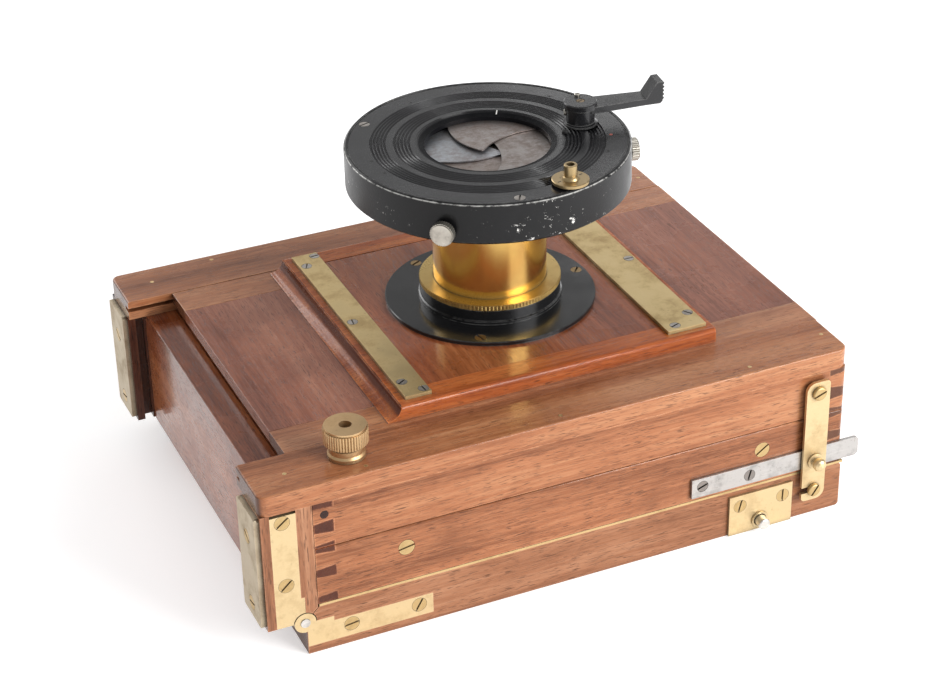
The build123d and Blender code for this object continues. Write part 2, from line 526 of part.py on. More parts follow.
barrel_in = BARREL_R - BARREL_WALL
barrel_top = SHUTTER_Z0 + 1.9
barrel_profile = [(barrel_in, 76.0), (BARREL_R, 76.0), (BARREL_R, barrel_top), (barrel_in, barrel_top),
                  (barrel_in, 86.0), (barrel_in - 1.2, 86.0), (barrel_in - 1.2, 84.6), (barrel_in, 84.6)]
save("lens_barrel", on_axis(turned(barrel_profile)))
lens = Pos(0, 0, 80.6) * Cylinder(barrel_in - 0.05, 3.0)
lens += Pos(0, 0, 79.1) * Cylinder(barrel_in - 2.0, 3.0)
save("rear_lens", on_axis(lens))

# ---------------------------------------------------------------- shutter
floor_top = SHUTTER_Z0 + 1.9
face_r = SHUTTER_R - HOUSING_WALL
THUMB_Z = 138.6
THUMB_ANGLES = (-131, -11, 109)


def radial(angle, shape):
    """Lay a piece drawn along +Z out along a radius of the shutter."""
    return Pos(LENS_X, 0, THUMB_Z) * Rot(0, 0, angle) * Rot(0, 90, 0) * shape


neck_r = BARREL_R + 0.05
housing_profile = [(neck_r, SHUTTER_Z0), (SHUTTER_R - 0.8, SHUTTER_Z0), (SHUTTER_R, SHUTTER_Z0 + 0.8),
                   (SHUTTER_R, SHUTTER_Z1 - 0.9), (SHUTTER_R - 0.9, SHUTTER_Z1), (face_r, SHUTTER_Z1),
                   (face_r, floor_top), (neck_r, floor_top)]
housing = on_axis(turned(housing_profile))
thumb_bores = [radial(a, Pos(0, 0, SHUTTER_R) * Cylinder(1.2 + RUNNING_FIT, 8)) for a in THUMB_ANGLES]

PIN_CIRCLE = 45.0           # the blades' posts
BLADE_Z0 = 144.2
BLADE_THICK = 0.5
BLADE_PITCH = 0.7
COVER_R = 27.0
TIP_R = 1.5                 # round on a blade's tip
BOW = 0.13                  # how far a blade's edges bow, as a share of their length
# From the lowest blade up: the post's angle, the blade's tip, and the angles its two edges reach at the rim.
BLADES = ((255, (8.0, 5.5), 155, 275), (165, (6.0, -4.5), 85, 173),
          (345, (4.5, 6.0), 246, 390), (75, (-2.8, -1.9), 16, 103))


def at_angle(radius, angle):
    return (radius * cos(radians(angle)), radius * sin(radians(angle)))


def bowed(start, end):
    """An edge that bows to its own left."""
    dx, dy = end[0] - start[0], end[1] - start[1]
    middle = (start[0] + dx / 2 - BOW * dy, start[1] + dy / 2 + BOW * dx)
    return ThreePointArc(start, middle, end)


posts = []
for i, (post_angle, tip, first, last) in enumerate(BLADES):
    x, y = at_angle(PIN_CIRCLE, post_angle)
    posts.append(disc(LENS_X + x, y, floor_top, BLADE_Z0 + i * BLADE_PITCH + BLADE_THICK + 0.2, 1.0))
save("shutter_housing", housing + posts - thumb_bores)


def blade(i):
    """A curved leaf on an arm, which turns about its post."""
    post_angle, tip, first, last = BLADES[i]
    z = BLADE_Z0 + i * BLADE_PITCH
    first_end, last_end = at_angle(COVER_R, first), at_angle(COVER_R, last)
    rim = ThreePointArc(first_end, at_angle(COVER_R, (first + last) / 2), last_end)
    back = bowed(tip, last_end)
    outline = make_face([bowed(tip, first_end), rim, back])
    point = outline.vertices().sort_by_distance((*tip, 0))[0]
    outline = fillet(point, TIP_R)
    leaf = Pos(0, 0, z) * extrude(outline, BLADE_THICK, dir=(0, 0, 1))
    x, y = at_angle(PIN_CIRCLE, post_angle)
    arm = Rot(0, 0, post_angle) * block(24, PIN_CIRCLE, -3.2, 3.2, z, z + BLADE_THICK)
    eye = disc(x, y, z, z + BLADE_THICK, 3.2)
    return on_axis(leaf + arm + eye - disc(x, y, z - 1, z + 2, 1.0 + RUNNING_FIT))


for i in range(len(BLADES)):
    save(f"shutter_blade_{i + 1}", blade(i))

lever_bore = disc(LEVER_X, LEVER_Y, 147, 151, 2.0 + RUNNING_FIT)
dial_bore = disc(DIAL_X, DIAL_Y, 147, 152, 1.5 + RUNNING_FIT)
FACE_SCREW = Screw(2.2, 1.0, 1.8, slot=0.6)
face_top = SHUTTER_Z1 - 0.2
face_places = [(Pos(LENS_X + 52.4 * cos(radians(a)), 52.4 * sin(radians(a)), face_top), turn)
               for a, turn in ((137, 20), (-101, 60), (18, 0))]
face_blanks, face_screws = FACE_SCREW.at(face_places)

face_points = [(OPENING_R, OPENING_Z0), (OPENING_R + 2.0, OPENING_Z0), (OPENING_R + 2.0, face_top - 2.0),
               (face_r - 0.1, face_top - 2.0), (face_r - 0.1, face_top)]
for outer, inner in ((47.0, 40.3), (37.7, 30.7)):
    grooves = 5
    step = (outer - inner) / grooves
    for k in range(grooves):
        r = outer - k * step
        face_points += [(r, face_top), (r - 0.25 * step, face_top - 0.45), (r - 0.65 * step, face_top - 0.45),
                        (r - 0.9 * step, face_top)]
SEAT_STEPS = 6              # fine steps from the face down to the screw seat
SEAT_MOUTH_R = 28.8
step_in, step_down = (SEAT_MOUTH_R - OPENING_R) / SEAT_STEPS, (face_top - OPENING_Z1) / SEAT_STEPS
for k in range(SEAT_STEPS):
    r, z = SEAT_MOUTH_R - k * step_in, face_top - k * step_down
    face_points += [(r, z), (r, z - step_down)]
face_points += [(OPENING_R, OPENING_Z1)]
face = on_axis(turned(face_points))
save("shutter_face", face - lever_bore - dial_bore - face_blanks)
save("shutter_screws", *face_screws)

RING_Z0, RING_Z1 = 141.5, 143.5
drive_ring = Pos(0, 0, (RING_Z0 + RING_Z1) / 2) * (Cylinder(53.5, RING_Z1 - RING_Z0) - Cylinder(47.5, 5))
save("drive_ring", on_axis(drive_ring))

# ---------------------------------------------------------------- release lever, dial, thumbscrews
ARM_LENGTH = 33.5
ARM_Z0, ARM_Z1 = 155.9, 158.7
HUB_HALF, TAB_HALF = 5.4, 4.0   # half widths of the arm at its two ends
TAB_TOP = 165.2


def lever():
    """Drawn along +X about its own axis, then turned into place."""
    body = disc(0, 0, 147.3, 150.5, 2.0)
    body += turned([(0, 150.4), (7.0, 150.4), (7.0, 151.0), (5.8, 151.4), (5.8, 157.2), (6.8, 157.6),
                    (6.8, 159.7), (6.4, 160.1), (1.9, 160.1), (1.7, 159.5), (0, 159.5)])
    tab_x = ARM_LENGTH - 6.9
    body += prism_z([(3, -HUB_HALF), (tab_x, -TAB_HALF), (tab_x + 2, -TAB_HALF), (tab_x + 2, TAB_HALF),
                     (tab_x, TAB_HALF), (3, HUB_HALF)], ARM_Z0, ARM_Z1)
    tab = [(tab_x, ARM_Z1), (ARM_LENGTH - 2.4, TAB_TOP), (ARM_LENGTH + 0.2, TAB_TOP)]
    for k in range(5):
        z = TAB_TOP - 0.6 - k * 1.6
        tab += [(ARM_LENGTH + 0.7, z), (ARM_LENGTH, z - 0.8)]
    tab += [(ARM_LENGTH, 156.9), (ARM_LENGTH - 1, ARM_Z0), (tab_x, ARM_Z0)]
    return body + prism_y(tab, -TAB_HALF, TAB_HALF)


save("release_lever", Pos(LEVER_X, LEVER_Y, 0) * Rot(0, 0, LEVER_TURN) * lever())

dial = turned([(0, 147.3), (1.5, 147.3), (1.5, 150.1), (4.0, 150.1), (4.0, 151.0), (7.3, 151.0),
               (7.3, 152.0), (7.0, 152.2), (3.4, 152.2), (3.0, 153.0), (2.6, 153.4), (2.6, 157.9),
               (2.4, 158.1), (1.6, 158.1), (1.6, 154.0), (0, 154.0)])
save("mode_dial", Pos(DIAL_X, DIAL_Y, 0) * dial)

for number, angle in enumerate(THUMB_ANGLES):
    shank = Pos(0, 0, SHUTTER_R) * Cylinder(1.2, 4.8)
    neck = Pos(0, 0, SHUTTER_R + 0.9) * Cylinder(2.4, 1.2)
    head = toothed_disc(4.7, 0.25, 32, SHUTTER_R + 1.5, SHUTTER_R + 4.3)
    head += Pos(0, 0, SHUTTER_R + 4.5) * Cylinder(4.2, 0.4)
    save(f"thumbscrew_{number + 1}", radial(angle, shank + neck + head))
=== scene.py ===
import json
import math

import bmesh
import bpy
from mathutils import Matrix, Vector


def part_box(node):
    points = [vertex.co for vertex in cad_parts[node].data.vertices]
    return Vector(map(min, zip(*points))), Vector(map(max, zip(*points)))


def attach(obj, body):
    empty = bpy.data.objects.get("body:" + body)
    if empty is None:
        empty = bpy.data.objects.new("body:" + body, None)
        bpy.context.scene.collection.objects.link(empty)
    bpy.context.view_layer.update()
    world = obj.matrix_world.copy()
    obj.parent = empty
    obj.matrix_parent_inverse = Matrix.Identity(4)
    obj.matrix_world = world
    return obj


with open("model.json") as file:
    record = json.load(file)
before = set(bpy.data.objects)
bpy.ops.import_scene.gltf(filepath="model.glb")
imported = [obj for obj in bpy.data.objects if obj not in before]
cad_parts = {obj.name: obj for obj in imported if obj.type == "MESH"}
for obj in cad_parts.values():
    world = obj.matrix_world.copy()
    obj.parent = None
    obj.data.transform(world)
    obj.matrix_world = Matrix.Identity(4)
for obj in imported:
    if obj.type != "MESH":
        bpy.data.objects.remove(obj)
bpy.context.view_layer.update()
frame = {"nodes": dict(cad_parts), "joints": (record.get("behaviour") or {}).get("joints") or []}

NODES = frame["nodes"]
MM = 0.001
JOINTS = {j["name"]: j for j in frame["joints"]}


def middle(node):
    low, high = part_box(node)
    return (low + high) / 2


LENS = middle("shutter_housing")
FACE_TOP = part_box("shutter_face")[1].z
HOUSING_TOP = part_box("shutter_housing")[1].z
SHUTTER_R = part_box("shutter_housing")[1].x - LENS.x
KNOCK_ANGLE = math.radians(-88)
KNOCK = (LENS.x + SHUTTER_R * math.cos(KNOCK_ANGLE), LENS.y + SHUTTER_R * math.sin(KNOCK_ANGLE),
         LENS.z - 5 * MM)


# ---------------------------------------------------------------- camera
YAW, PITCH, ROLL = math.radians(23.50), math.radians(30.28), math.radians(-1.20)
FOCAL_MM, SENSOR_MM = 88.0, 36.0
FROM_LENS_X, PLACE_Y, PLACE_Z = -0.3391, -0.7631, 0.5440


def set_camera():
    """A long lens, over the near corner at the object's base end."""
    yaw, pitch, roll = YAW, PITCH, ROLL
    forward = Vector((math.sin(yaw) * math.cos(pitch), math.cos(yaw) * math.cos(pitch), -math.sin(pitch)))
    right = Vector((math.cos(yaw), -math.sin(yaw), 0))
    up = right.cross(forward)
    side = right * math.cos(roll) + up * math.sin(roll)
    top = -right * math.sin(roll) + up * math.cos(roll)
    data = bpy.data.cameras.new("camera")
    data.lens, data.sensor_width = FOCAL_MM, SENSOR_MM
    camera = bpy.data.objects.new("camera", data)
    bpy.context.scene.collection.objects.link(camera)
    place = Vector((LENS.x + FROM_LENS_X, PLACE_Y, PLACE_Z))
    camera.matrix_world = Matrix((
        (side.x, top.x, -forward.x, place.x),
        (side.y, top.y, -forward.y, place.y),
        (side.z, top.z, -forward.z, place.z),
        (0, 0, 0, 1)))
    bpy.context.scene.camera = camera


set_camera()


# ---------------------------------------------------------------- shader helper
class Paint:
    """A material's node tree, built by short calls. Every call returns a socket."""

    def __init__(self, name):
        self.material = bpy.data.materials.new(name)
        self.material.use_nodes = True
        self.tree = self.material.node_tree
        self.tree.nodes.clear()
        self.out = self.tree.nodes.new("ShaderNodeOutputMaterial")
        self.shader = self.tree.nodes.new("ShaderNodeBsdfPrincipled")
        self.tree.links.new(self.shader.outputs[0], self.out.inputs["Surface"])
        self.place = self.tree.nodes.new("ShaderNodeTexCoord").outputs["Object"]

    def put(self, socket, value):
        if isinstance(value, bpy.types.NodeSocket):
            self.tree.links.new(value, socket)
        elif isinstance(value, (tuple, list)) and len(value) == 3 and socket.type == "RGBA":
            socket.default_value = (*value, 1.0)
        else:
            socket.default_value = value

    def node(self, kind, inputs, output=0, **settings):
        n = self.tree.nodes.new("ShaderNode" + kind)
        for key, value in settings.items():
            setattr(n, key, value)
        for key, value in inputs.items():
            self.put(n.inputs[key], value)
        return n.outputs[output]

    def scaled(self, scale, offset=(0, 0, 0), turn=(0, 0, 0), place=None):
        return self.node("Mapping", {"Vector": place or self.place, "Location": offset, "Rotation": turn,
                                     "Scale": scale})

    def noise(self, place, scale=1.0, detail=2.0, rough=0.5, distort=0.0):
        return self.node("TexNoise", {"Vector": place, "Scale": scale, "Detail": detail, "Roughness": rough,
                                      "Distortion": distort})

    def math(self, how, a, b=0.0, clamp=False):
        n = self.tree.nodes.new("ShaderNodeMath")
        n.operation, n.use_clamp = how, clamp
        self.put(n.inputs[0], a)
        self.put(n.inputs[1], b)
        return n.outputs[0]

    def spread(self, value, low, high, to_low=0.0, to_high=1.0, smooth=True):
        return self.node("MapRange", {"Value": value, "From Min": low, "From Max": high, "To Min": to_low,
                                      "To Max": to_high},
                         interpolation_type="SMOOTHSTEP" if smooth else "LINEAR")

    def mix(self, share, a, b, how="MIX"):
        n = self.tree.nodes.new("ShaderNodeMix")
        n.data_type, n.blend_type = "RGBA", how
        self.put(n.inputs[0], share)
        self.put(n.inputs[6], a)
        self.put(n.inputs[7], b)
        return n.outputs[2]

    def ramp(self, value, stops):
        n = self.tree.nodes.new("ShaderNodeValToRGB")
        n.color_ramp.elements.remove(n.color_ramp.elements[0])
        for i, (at, colour) in enumerate(stops):
            e = n.color_ramp.elements[0] if i == 0 else n.color_ramp.elements.new(at)
            e.position, e.color = at, (*colour, 1.0)
        self.put(n.inputs[0], value)
        return n.outputs[0]

    def bump(self, height, strength, distance, under=None):
        inputs = {"Height": height, "Strength": strength, "Distance": distance}
        if under is not None:
            inputs["Normal"] = under
        return self.node("Bump", inputs)

    def arris(self, radius, low=0.02, high=0.25):
        """1 along sharp edges and 0 elsewhere."""
        soft = self.node("Bevel", {"Radius": radius}, samples=6)
        plain = self.node("NewGeometry", {}, output="Normal")
        along = self.node("VectorMath", {0: soft, 1: plain}, output="Value", operation="DOT_PRODUCT")
        return self.spread(self.math("SUBTRACT", 1.0, along), low, high)

    def corner_shade(self, distance, low=0.35, high=0.9):
        """1 in corners and 0 in the open, from ambient occlusion; it masks painted shade."""
        open_sky = self.node("AmbientOcclusion", {"Distance": distance}, output="AO", samples=6)
        return self.spread(open_sky, low, high, 1.0, 0.0)

    def finish(self, colour, rough, normal=None, metal=0.0, **sockets):
        self.put(self.shader.inputs["Base Color"], colour)
        self.put(self.shader.inputs["Roughness"], rough)
        self.put(self.shader.inputs["Metallic"], metal)
        if normal is not None:
            self.put(self.shader.inputs["Normal"], normal)
        for key, value in sockets.items():
            self.put(self.shader.inputs[key.replace("_", " ")], value)
        return self.material


GRAIN_TURN = {"X": (0, 0, 0), "Y": (0, 0, math.radians(90)), "Z": (0, math.radians(90), 0)}


def mahogany(name, axis, seed, dark, mid, light, gloss, rough=0.25):
    """Polished mahogany with its grain along one axis of the frame."""
    p = Paint(name)
    offset = (seed * 0.37, seed * 0.23, seed * 0.51)
    along = p.scaled((1, 1, 1), offset, GRAIN_TURN[axis])
    drift = p.noise(p.scaled((3.0, 9.0, 9.0), place=along), detail=2.0)
    sway = p.math("MULTIPLY", p.math("SUBTRACT", drift, 0.5), 0.012)
    swayed = p.node("VectorMath", {0: along, 1: p.node("CombineXYZ", {"X": 0.0, "Y": sway, "Z": sway})},
                    operation="ADD")
    broad = p.noise(p.scaled((2.2, 70.0, 70.0), place=swayed), detail=4.0, rough=0.6)
    streak = p.noise(p.scaled((24.0, 620.0, 620.0), place=swayed), detail=3.0, rough=0.6)
    fine = p.noise(p.scaled((110.0, 2600.0, 2600.0), place=swayed), detail=2.0, rough=0.6)
    pores = p.noise(p.scaled((210.0, 3000.0, 3000.0), (4, 7, 1), place=swayed), detail=1.0, rough=0.5)
    pore = p.math("MULTIPLY", p.spread(pores, 0.56, 0.67), p.spread(streak, 0.25, 0.6))
    ribbon = p.noise(p.scaled((14.0, 30.0, 30.0), (2, 5, 3), place=swayed), detail=3.0, rough=0.55)
    tone = p.math("ADD", p.math("MULTIPLY", broad, 0.48), p.math("MULTIPLY", streak, 0.32))
    tone = p.math("ADD", tone, p.math("MULTIPLY", ribbon, 0.20))
    tone = p.math("ADD", p.math("MULTIPLY", p.math("SUBTRACT", tone, 0.5), 2.9), 0.5)
    colour = p.ramp(tone, [(0.12, dark), (0.5, mid), (0.88, light)])
    colour = p.mix(p.math("MULTIPLY", p.spread(fine, 0.42, 0.62), 0.22), colour, light)
    pore_tint = tuple(c * 0.40 for c in dark)
    colour = p.mix(p.math("MULTIPLY", pore, 0.72), colour, pore_tint)
    # the ends of the fibres soak up more stain
    facing = p.node("VectorMath", {0: p.node("NewGeometry", {}, output="Normal"),
                                   1: {"X": (1, 0, 0), "Y": (0, 1, 0), "Z": (0, 0, 1)}[axis]},
                    output="Value", operation="DOT_PRODUCT")
    end = p.spread(p.math("ABSOLUTE", facing), 0.55, 0.9)
    end_tint = (dark[0] * 0.42, dark[1] * 0.5, dark[2] * 0.75)
    colour = p.mix(p.math("MULTIPLY", end, 0.85), colour, end_tint)
    worn = p.arris(0.0011)
    scuff = p.noise(p.scaled((90, 90, 90), (1, 2, 3)), detail=4.0, rough=0.7)
    rubbed = p.math("MULTIPLY", worn, p.spread(scuff, 0.38, 0.60))
    colour = p.mix(p.math("MULTIPLY", rubbed, 0.55), colour, tuple(min(1.0, c * 1.5 + 0.03) for c in light))
    # painted shade: the wood is darkened in corners and recesses
    shade_in_corners = p.corner_shade(0.0035)
    colour = p.mix(p.math("MULTIPLY", shade_in_corners, 0.45), colour, tuple(c * 0.22 for c in dark))
    # old spills and dulled patches in the polish
    stain = p.noise(p.scaled((22, 22, 22), (3, 8, 6)), detail=5.0, rough=0.6)
    stain_tint = tuple(c * 0.8 for c in dark)
    colour = p.mix(p.math("MULTIPLY", p.spread(stain, 0.52, 0.70), 0.35), colour, stain_tint)
    haze = p.noise(p.scaled((30, 30, 30), (9, 4, 2)), detail=5.0, rough=0.65)
    shine = p.spread(haze, 0.35, 0.65, rough - 0.07, rough + 0.10)
    shine = p.math("ADD", shine, p.math("MULTIPLY", pore, 0.25), clamp=True)
    relief = p.bump(p.math("SUBTRACT", p.math("MULTIPLY", fine, 0.35), pore), 0.35, 0.00010)
    relief = p.bump(p.noise(p.scaled((9, 60, 60), place=along), detail=2.0), 0.20, 0.0006, relief)
    return p.finish(colour, shine, relief, Coat_Weight=gloss, Coat_Roughness=0.10, Specular_IOR_Level=0.18)


def brass(name, base=(0.80, 0.56, 0.20), rough=0.30, stain=0.5, brush=(1, 1, 1), corner_shade_reach=0.003,
          dent=0.06, speckle=0.8, mottle=0.16):
    """Old lacquered brass: bright on the arrises, browned where the lacquer has gone, and with painted shade
    in its corners.

    brush scales the scratches along the three axes, so the smallest of them is the way they run."""
    p = Paint(name)
    blotch = p.noise(p.scaled((70, 70, 70), (1, 6, 2)), detail=6.0, rough=0.68)
    spots = p.noise(p.scaled((420, 420, 420), (3, 1, 8)), detail=3.0, rough=0.6)
    lines = p.noise(p.scaled(tuple(140 * k for k in brush), (5, 5, 5)), scale=6.0, detail=4.0, rough=0.75)
    worn = p.arris(0.0006)
    brown = tuple(c * k for c, k in zip(base, (0.50, 0.42, 0.36)))
    pale = tuple(min(1.0, c * k) for c, k in zip(base, (1.12, 1.14, 1.25)))
    colour = p.mix(p.math("MULTIPLY", p.spread(blotch, 0.47, 0.70), stain), base, brown)
    colour = p.mix(p.math("MULTIPLY", p.spread(spots, 0.62, 0.74), stain * speckle), colour, brown)
    colour = p.mix(p.math("MULTIPLY", p.spread(lines, 0.5, 0.75), 0.35), colour, pale)
    colour = p.mix(p.math("MULTIPLY", worn, 0.5), colour, pale)
    # painted shade: near-black brown and less metallic in corners and recesses
    shade_in_corners = p.corner_shade(corner_shade_reach)
    colour = p.mix(p.math("MULTIPLY", shade_in_corners, 0.7), colour, (0.035, 0.022, 0.012))
    shine = p.spread(blotch, 0.35, 0.7, rough - 0.06, rough + mottle)
    shine = p.math("ADD", shine, p.math("MULTIPLY", lines, 0.10), clamp=True)
    relief = p.bump(lines, 0.12, 0.00008)
    relief = p.bump(blotch, dent, 0.0004, relief)
    return p.finish(colour, shine, relief, metal=p.math("SUBTRACT", 1.0, p.math("MULTIPLY", shade_in_corners, 0.5)))


STRAP_X0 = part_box("steel_straps")[0].x
STRAP_HEADS = [(STRAP_X0 + 4.8 * MM, 28.4 * MM), (STRAP_X0 + 26.2 * MM, 27.6 * MM)]
HEAD_R = 2.4 * MM


def steel(name, base=(0.52, 0.52, 0.50), rough=0.34, rust=0.25, heads=()):
    """Worn steel. heads are the (x, z) of screw heads in its near and far faces, which are darker."""
    p = Paint(name)
    blotch = p.noise(p.scaled((110, 110, 110), (7, 3, 1)), detail=6.0, rough=0.7)
    lines = p.noise(p.scaled((60, 900, 900), (2, 9, 4)), detail=4.0, rough=0.7)
    pits = p.noise(p.scaled((900, 900, 900), (6, 6, 1)), detail=3.0, rough=0.6)
    dark = tuple(c * 0.42 for c in base)
    colour = p.mix(p.math("MULTIPLY", p.spread(blotch, 0.45, 0.68), 0.55), base, dark)
    colour = p.mix(p.math("MULTIPLY", p.spread(lines, 0.5, 0.7), 0.35), colour, tuple(c * 1.25 for c in base))
    colour = p.mix(p.math("MULTIPLY", p.spread(pits, 0.62, 0.72), rust), colour, (0.10, 0.055, 0.03))
    for x, z in heads:
        flat = p.node("VectorMath", {0: p.place, 1: (1, 0, 1)}, operation="MULTIPLY")
        away = p.node("VectorMath", {0: flat, 1: (x, 0, z)}, output="Value", operation="DISTANCE")
        on_head = p.spread(away, HEAD_R - 0.00005, HEAD_R + 0.00005, 0.75, 0.0)
        colour = p.mix(on_head, colour, (0.20, 0.17, 0.15))
    # painted shade: the steel is near black in corners and recesses
    colour = p.mix(p.math("MULTIPLY", p.corner_shade(0.002), 0.8), colour, (0.02, 0.016, 0.013))
    shine = p.spread(blotch, 0.3, 0.7, rough - 0.05, rough + 0.2)
    relief = p.bump(lines, 0.15, 0.00008)
    return p.finish(colour, shine, p.bump(pits, 0.10, 0.0001, relief), metal=1.0)


def from_lens(p):
    """Distance from the lens axis, in metres."""
    across = p.node("VectorMath", {0: p.place, 1: (LENS.x, LENS.y, 0)}, operation="SUBTRACT")
    flat = p.node("VectorMath", {0: across, 1: (1, 1, 0)}, operation="MULTIPLY")
    return p.node("VectorMath", {0: flat}, output="Value", operation="LENGTH")


def enamel(name, base=(0.005, 0.005, 0.0055), rough=0.26, chips=1.0, speck=0.0, rim=0.0, top=0.0, peel=0.2,
           shade=0.0, level=0.50):
    """Black stove enamel over bright metal, chipped along its edges.

    chips and speck are how far the edges and the wall are chipped. rim and top place the outer arris,
    which is rubbed to the metal. shade is how far the shutter face's grooves darken."""
    p = Paint(name)
    cloud = p.noise(p.scaled((45, 45, 45), (2, 2, 7)), detail=5.0, rough=0.65)
    grit = p.noise(p.scaled((1100, 1100, 1100), (1, 1, 1)), detail=3.0, rough=0.6)
    crumbs = p.noise(p.scaled((420, 420, 420), (5, 3, 2)), detail=5.0, rough=0.75)
    clumps = p.noise(p.scaled((60, 60, 60), (8, 1, 4)), detail=3.0, rough=0.6)
    broken = p.math("ADD", p.math("MULTIPLY", crumbs, 0.6), p.math("MULTIPLY", clumps, 0.4))
    bare = 0.0
    if chips:
        worn = p.math("MULTIPLY", p.arris(0.0009, 0.01, 0.20), p.spread(broken, 0.44, 0.56))
        bare = p.math("MULTIPLY", worn, chips)
    if rim:
        height = p.node("SeparateXYZ", {0: p.place}, output="Z")
        edge = p.math("MULTIPLY", p.spread(from_lens(p), rim - 0.0006, rim - 0.0003),
                      p.spread(height, top - 0.0009, top - 0.0006))
        rubbed = p.math("MULTIPLY", edge, p.spread(broken, 0.40, 0.54, 0.0, 0.8))
        bare = p.math("MAXIMUM", p.math("MULTIPLY", bare, 0.2), rubbed)
    if speck:
        # knocks have chipped the wall in one place
        away = p.node("VectorMath", {0: p.place, 1: KNOCK}, output="Value", operation="DISTANCE")
        clumps = p.math("ADD", clumps, p.spread(away, 0.003, 0.024, 0.24, 0.0))
        flecks = p.math("MULTIPLY", p.spread(crumbs, 0.615, 0.635), p.spread(clumps, 0.50, 0.66))
        bare = p.math("MAXIMUM", bare, p.math("MULTIPLY", flecks, speck))
    colour = p.mix(p.spread(cloud, 0.35, 0.7), base, tuple(c * 1.7 for c in base))
    shine = p.spread(cloud, 0.3, 0.7, rough - 0.05, rough + 0.06)
    relief = p.bump(grit, peel, 0.00010)
    metal = 0.0
    if bare:
        colour = p.mix(bare, colour, (0.74, 0.73, 0.70))
        relief = p.bump(p.math("SUBTRACT", 1.0, bare), 0.25, 0.0001, relief)
        metal = p.math("MULTIPLY", bare, 0.5)
    if shade:
        height = p.node("SeparateXYZ", {0: p.place}, output="Z")
        depth = p.spread(height, FACE_TOP - 0.0006, FACE_TOP - 0.0001)
        level = p.spread(depth, 0.0, 1.0, level * (1 - shade), level, smooth=False)
    return p.finish(colour, shine, relief, metal=metal, Specular_IOR_Level=level)


# ---------------------------------------------------------------- materials of the CAD nodes
RED = dict(dark=(0.105, 0.020, 0.006), mid=(0.250, 0.064, 0.021), light=(0.400, 0.135, 0.052))
WARM = dict(dark=(0.165, 0.050, 0.018), mid=(0.350, 0.128, 0.054), light=(0.500, 0.235, 0.115))
PALE = dict(dark=(0.140, 0.050, 0.022), mid=(0.290, 0.118, 0.056), light=(0.420, 0.205, 0.112))
DULL = dict(dark=(0.120, 0.030, 0.014), mid=(0.250, 0.080, 0.042), light=(0.370, 0.152, 0.090))
FLAME = dict(dark=(0.150, 0.026, 0.007), mid=(0.370, 0.088, 0.022), light=(0.560, 0.185, 0.055))
DEEP = dict(dark=(0.030, 0.007, 0.003), mid=(0.070, 0.018, 0.008), light=(0.125, 0.042, 0.020))

WOODS = {
    "front_box_side_near": ("X", 1, WARM, 0.30), "front_box_side_far": ("X", 2, WARM, 0.30),
    "rear_body_side_near": ("X", 3, WARM, 0.30), "rear_body_side_far": ("X", 4, WARM, 0.30),
    "front_box_end_top": ("Y", 5, WARM, 0.30), "front_box_end_bottom": ("Y", 6, RED, 0.3),
    "rear_body_end_top": ("Y", 7, WARM, 0.30), "rear_body_end_bottom": ("Y", 8, RED, 0.3),
    "guide_strip_near": ("X", 9, WARM, 0.30), "guide_strip_far": ("X", 10, WARM, 0.55),
    "base_post_near": ("Z", 11, PALE, 0.20), "base_post_far": ("Z", 12, DEEP, 0.25),
    "base_panel": ("Y", 13, RED, 0.55), "front_board": ("Y", 14, RED, 0.2),
    "rising_panel": ("Y", 15, DULL, 0.50), "panel_cleats": ("X", 16, WARM, 0.55),
    "lensboard_frame": ("X", 17, FLAME, 0.22), "lens_board": ("Y", 18, RED, 0.50),
    "tailboard_rails": ("X", 19, PALE, 0.12), "tailboard_hinge_rail": ("Y", 20, PALE, 0.12),
    "carriage_board": ("X", 21, PALE, 0.10), "screen_frame": ("X", 22, PALE, 0.10),
}
for node, (axis, seed, tones, gloss) in WOODS.items():
    NODES[node].material_slots[0].material = mahogany("wood-" + node, axis, seed, gloss=gloss, **tones)

